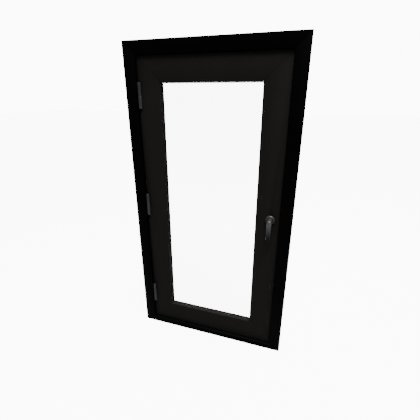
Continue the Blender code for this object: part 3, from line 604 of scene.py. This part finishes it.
def finish_hinge_half(hinge, half):
    """A smooth barrel with a cap marked off by a groove, on the pintle that holds it."""
    node = f"hinge_{hinge}_{half}_half"
    low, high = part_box(node)
    pin_low, pin_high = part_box(f"hinge_{hinge}_pin")
    axis = (pin_low + pin_high) / 2
    radius = axis.y - low.y
    length = high.z - low.z
    foot = Vector((axis.x, axis.y, low.z))
    top = Vector((axis.x, axis.y, high.z))
    barrel = turned_blank(node + "_finished", radius, foot, top)
    cap_level = high.z - CAP_HEIGHT if half == "sash" else low.z + CAP_HEIGHT
    start_edit(barrel)
    groove_ring(barrel, axis, cap_level, CAP_GROOVE_WIDTH, CAP_GROOVE_DEPTH, radius)
    end_edit()
    soften(barrel, ARRIS, 3, 50)
    heading = Vector((-1, 0, 0))
    reach = axis.x - low.x
    if half == "sash":
        heading = Vector((math.cos(SASH_PINTLE_TURN), math.sin(SASH_PINTLE_TURN), 0))
        reach = (high.x - axis.x - PINTLE_RADIUS * heading.y) / heading.x
    middle = Vector((axis.x, axis.y, low.z + length / 2))
    pintle = turned_blank("pintle", PINTLE_RADIUS, middle, middle + heading * reach, 32)
    combine(barrel, pintle, "UNION")
    bpy.ops.object.shade_smooth_by_angle(angle=SMOOTH_ANGLE)
    past_end = Vector((0, 0, MM))
    bore = turned_blank("bore", BORE_RADIUS, pin_low - past_end, pin_high + past_end, 32)
    combine(barrel, bore, "DIFFERENCE")
    dress(barrel, HINGE_COAT_PAINTED_SHADE[hinge], "dark_metal", body_of(node), node)


# ---------------------------------------------------------------- handle


def finish_rosette():
    """A round cover with a soft rim, a shallow ring and a hole for the lever's neck."""
    low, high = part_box("rosette_cover")
    centre = (low + high) / 2
    radius = (high.x - low.x) / 2
    height = high.y - low.y
    back = Vector((centre.x, high.y, centre.z))
    rim = back + ROOM * height * ROSETTE_RIM
    cover = turned_blank("rosette_cover_finished", radius, back, rim, 96)
    start_edit(cover)
    pick_parts(cover, "FACE", lambda point, normal: normal.y < -0.9)
    for inset, rise in ROSETTE_STEPS:
        bpy.ops.mesh.inset(thickness=inset)
        bpy.ops.transform.translate(value=(0, -rise, 0))
    bpy.ops.mesh.inset(thickness=0.2 * MM)
    bpy.ops.mesh.delete(type="FACE")
    pick_parts(cover, "FACE", lambda point, normal: normal.y > 0.9)
    bpy.ops.mesh.delete(type="FACE")
    end_edit()
    wall = cover.modifiers.new("wall", "SOLIDIFY")
    wall.thickness = ROSETTE_WALL
    wall.offset = -1
    apply_all(cover)
    bpy.ops.object.shade_smooth_by_angle(angle=math.radians(40))
    dress(cover, ROSETTE_COAT_PAINTED_SHEEN, "dark_metal", "sash", "rosette_cover")


def finish_lever():
    """A flat lever with a domed boss over the neck, hanging to a square tip."""
    low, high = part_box("handle_lever")
    cover_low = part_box("rosette_cover")[0]
    half = (high.x - low.x) / 2
    axis = Vector(((low.x + high.x) / 2, 0, high.z - half))
    front = low.y + BOSS_DOME
    depth = LEVER_DEPTH - BOSS_DOME
    bpy.ops.object.select_all(action="DESELECT")
    bpy.ops.mesh.primitive_circle_add(
        vertices=64,
        radius=half,
        fill_type="NGON",
        location=(axis.x, front, axis.z),
        rotation=(math.radians(90), 0, 0),
    )
    lever = bpy.context.object
    lever.name = "handle_lever_finished"
    lever.data.name = lever.name
    settle(lever)
    start_edit(lever)
    bpy.ops.mesh.select_all(action="SELECT")
    bpy.ops.mesh.bisect(
        plane_co=(axis.x, front, axis.z), plane_no=(0, 0, 1), clear_inner=True, use_fill=False
    )
    pick_parts(lever, "VERT", lambda point, normal: point.z < axis.z + 0.01 * MM)
    bpy.ops.mesh.select_mode(type="EDGE")
    drop = axis.z - low.z
    for share, width in LEVER_TAPER:
        bpy.ops.mesh.extrude_region_move(TRANSFORM_OT_translate={"value": (0, 0, -drop * share)})
        bpy.ops.transform.resize(value=(width, 1, 1), center_override=(axis.x, front, axis.z))
    bpy.ops.mesh.select_all(action="SELECT")
    bpy.ops.mesh.select_mode(type="FACE")
    bpy.ops.mesh.select_all(action="SELECT")
    bpy.ops.mesh.extrude_region_move(TRANSFORM_OT_translate={"value": (0, depth, 0)})
    end_edit()
    soften(lever, LEVER_ARRIS, 5, 50)
    neck_front = Vector((axis.x, front + depth / 2, axis.z))
    neck_back = Vector((axis.x, high.y, axis.z))
    neck = turned_blank("neck", NECK_RADIUS, neck_front, neck_back)
    start_edit(neck)
    waist = (front + depth + cover_low.y) / 2
    for level in (front + depth + MM, waist, cover_low.y - MM):
        bpy.ops.mesh.select_all(action="SELECT")
        bpy.ops.mesh.bisect(plane_co=(axis.x, level, axis.z), plane_no=(0, 1, 0))
    pick_parts(neck, "VERT", lambda point, normal: abs(point.y - waist) < 0.1 * MM)
    bpy.ops.transform.resize(
        value=(NECK_WAIST, 1, NECK_WAIST), center_override=(axis.x, waist, axis.z)
    )
    end_edit()
    bpy.ops.object.shade_smooth_by_angle(angle=SMOOTH_ANGLE)
    combine(lever, neck, "UNION")
    bpy.ops.object.select_all(action="DESELECT")
    bpy.ops.mesh.primitive_uv_sphere_add(
        segments=48,
        ring_count=24,
        radius=1,
        location=(axis.x, front + 0.2 * MM, axis.z),
        scale=(BOSS_RADIUS, BOSS_DOME, BOSS_RADIUS),
    )
    boss = bpy.context.object
    settle(boss)
    start_edit(boss)
    bpy.ops.mesh.select_all(action="SELECT")
    bpy.ops.mesh.bisect(
        plane_co=(axis.x, front + MM, axis.z), plane_no=(0, 1, 0), clear_outer=True, use_fill=True
    )
    end_edit()
    bpy.ops.object.shade_smooth_by_angle(angle=math.radians(50))
    combine(lever, boss, "UNION")
    bpy.ops.object.shade_smooth_by_angle(angle=SMOOTH_ANGLE)
    dress(lever, LEVER_COAT_PAINTED_SHEEN, "dark_metal", "handle", "handle_lever")


# ---------------------------------------------------------------- fasteners


def countersunk_screw(name, place, facing, body):
    """A screw head let in flush, with a cross recess."""
    inner = place - facing * SCREW_DEPTH
    screw = turned_blank(name, SCREW_RADIUS, inner, place, 32)
    start_edit(screw)
    pick_parts(screw, "FACE", lambda point, normal: normal.dot(facing) > 0.9)
    bpy.ops.mesh.inset(thickness=SCREW_RIM)
    bpy.ops.transform.translate(value=facing * SCREW_CROWN)
    end_edit()
    for length, width in ((RECESS_LENGTH, RECESS_WIDTH), (RECESS_WIDTH, RECESS_LENGTH)):
        bpy.ops.object.select_all(action="DESELECT")
        bpy.ops.mesh.primitive_cube_add(size=1, location=place)
        slot = bpy.context.object
        slot.scale = (RECESS_BLOCK, length, width)
        settle(slot)
        combine(screw, slot, "DIFFERENCE")
    bpy.ops.object.shade_smooth_by_angle(angle=math.radians(30))
    dress(screw, STEEL_TURNED, "bright_steel", body)


def finish_fasteners():
    """Screws down the lock's faceplate and through both keeps."""
    low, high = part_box("lock_faceplate")
    middle_y = (low.y + high.y) / 2
    span = high.z - low.z - 2 * FACEPLATE_MARGIN
    for number in range(FACEPLATE_SCREWS):
        height = low.z + FACEPLATE_MARGIN + span * number / (FACEPLATE_SCREWS - 1)
        place = Vector((high.x - SCREW_CROWN, middle_y, height))
        countersunk_screw(f"faceplate_screw_{number + 1}", place, Vector((1, 0, 0)), "sash")
    for keep in ("upper", "lower"):
        low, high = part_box("keep_" + keep)
        plate_x = high.x - KEEP_PLATE
        for name, height in (
            ("top", high.z - KEEP_SCREW_MARGIN),
            ("bottom", low.z + KEEP_SCREW_MARGIN),
        ):
            place = Vector((plate_x + KEEP_SCREW_PROUD, low.y + KEEP_SCREW_INSET, height))
            countersunk_screw(f"keep_{keep}_screw_{name}", place, Vector((-1, 0, 0)), "frame")


# ---------------------------------------------------------------- floor, light and camera


FLOOR_GLOW = 0.1                # what the floor gives to the object
SKY_LOW = 0.3                   # the studio's brightness level with the floor
SKY_HIGH = 3.0                  # and straight overhead
VIEW_SKY = 11.0                 # what the view itself sees of the sky
VIEW_FLOOR = 9.5                # and of the floor, which also catches light
LAMP_SIZE = (3.0, 0.6)
LAMP_POWER = 420
LAMP_PLACE = (0.9, -0.55, 3.2)
LAMP_AIM = (0, 0, 0.6)
SENSOR = 36
VIEW_ANGLE = math.radians(70)
VIEW_TILT = math.radians(90 - 21.417)  # up from looking straight down
VIEW_TURN = math.radians(18.851)
VIEW_PLACE = (0.56028, -0.84775, 0.86087)  # in frame heights, from the lower left room corner


def seen_directly(tree):
    """One where a surface is looked at straight or through glass, and zero where it lights."""
    path = add_node(tree, "ShaderNodeLightPath", (-1500, 400))
    turns = add_node(tree, "ShaderNodeMath", (-1300, 400), operation="ADD")
    straight = add_node(tree, "ShaderNodeMath", (-1100, 400), operation="SUBTRACT")
    straight.inputs[0].default_value = 1.0
    straight.use_clamp = True
    through = add_node(tree, "ShaderNodeMath", (-900, 400), operation="MULTIPLY")
    seen = add_node(tree, "ShaderNodeMath", (-700, 400), operation="MAXIMUM")
    link(tree, path, "Glossy Depth", turns, 0)
    link(tree, path, "Diffuse Depth", turns, 1)
    link(tree, turns, "Value", straight, 1)
    link(tree, path, "Is Transmission Ray", through, 0)
    link(tree, straight, "Value", through, 1)
    link(tree, path, "Is Camera Ray", seen, 0)
    link(tree, through, "Value", seen, 1)
    return seen


def add_floor():
    bpy.ops.object.select_all(action="DESELECT")
    bpy.ops.mesh.primitive_plane_add(size=30, location=(0, 0, SIZE_AT_START[0][2] - 0.5 * MM))
    floor = bpy.context.object
    floor.name = "studio_floor"
    material, tree, shader = new_material("pale_floor", (0.35, 0.35, 0.35), 0.9, 0.0, 0.0)
    shader.inputs["Emission Color"].default_value = (1, 1, 1, 1)
    glow = add_node(tree, "ShaderNodeMapRange", (-400, 200))
    glow.inputs["To Min"].default_value = FLOOR_GLOW
    glow.inputs["To Max"].default_value = VIEW_FLOOR
    link(tree, seen_directly(tree), "Value", glow, "Value")
    link(tree, glow, "Result", shader, "Emission Strength")
    floor.data.materials.append(material)


def add_light():
    world = bpy.data.worlds.new("studio")
    world.use_nodes = True
    tree = world.node_tree
    background = tree.nodes["Background"]
    background.inputs["Color"].default_value = (1, 1, 1, 1)
    heading = add_node(tree, "ShaderNodeTexCoord", (-900, 0))
    split = add_node(tree, "ShaderNodeSeparateXYZ", (-700, 0))
    rise = add_node(tree, "ShaderNodeMapRange", (-500, 0))
    rise.inputs["From Min"].default_value = 0.1
    rise.inputs["To Min"].default_value = SKY_LOW
    rise.inputs["To Max"].default_value = SKY_HIGH
    choose = add_node(tree, "ShaderNodeMix", (-250, 100))
    choose.inputs["B"].default_value = VIEW_SKY
    link(tree, heading, "Generated", split, "Vector")
    link(tree, split, "Z", rise, "Value")
    link(tree, seen_directly(tree), "Value", choose, "Factor")
    link(tree, rise, "Result", choose, "A")
    link(tree, choose, "Result", background, "Strength")
    bpy.context.scene.world = world
    lamp = bpy.data.lights.new("overhead_soft_light", "AREA")
    lamp.shape = "RECTANGLE"
    lamp.size, lamp.size_y = LAMP_SIZE
    lamp.energy = LAMP_POWER
    panel = bpy.data.objects.new("overhead_soft_light", lamp)
    panel.location = LAMP_PLACE
    aim = Vector(LAMP_AIM) - panel.location
    panel.rotation_euler = aim.to_track_quat("-Z", "Y").to_euler()
    bpy.context.scene.collection.objects.link(panel)


def add_camera():
    """A wide lens above the sill, to the right of the window, turned a little to the left."""
    low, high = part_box("frame_jamb_left")
    height = high.z - low.z
    corner = Vector((low.x, low.y, low.z))
    lens = bpy.data.cameras.new("view")
    lens.sensor_width = SENSOR
    lens.lens = SENSOR / 2 / math.tan(VIEW_ANGLE / 2)
    camera = bpy.data.objects.new("view", lens)
    camera.location = corner + Vector(VIEW_PLACE) * height
    camera.rotation_euler = (VIEW_TILT, 0, VIEW_TURN)
    bpy.context.scene.collection.objects.link(camera)
    bpy.context.scene.camera = camera


finish_timber()
finish_plain_nodes()
finish_glazing_fillet()
for hinge_name in HINGES:
    finish_hinge_half(hinge_name, "frame")
    finish_hinge_half(hinge_name, "sash")
finish_rosette()
finish_lever()
finish_fasteners()
add_floor()
add_light()
add_camera()
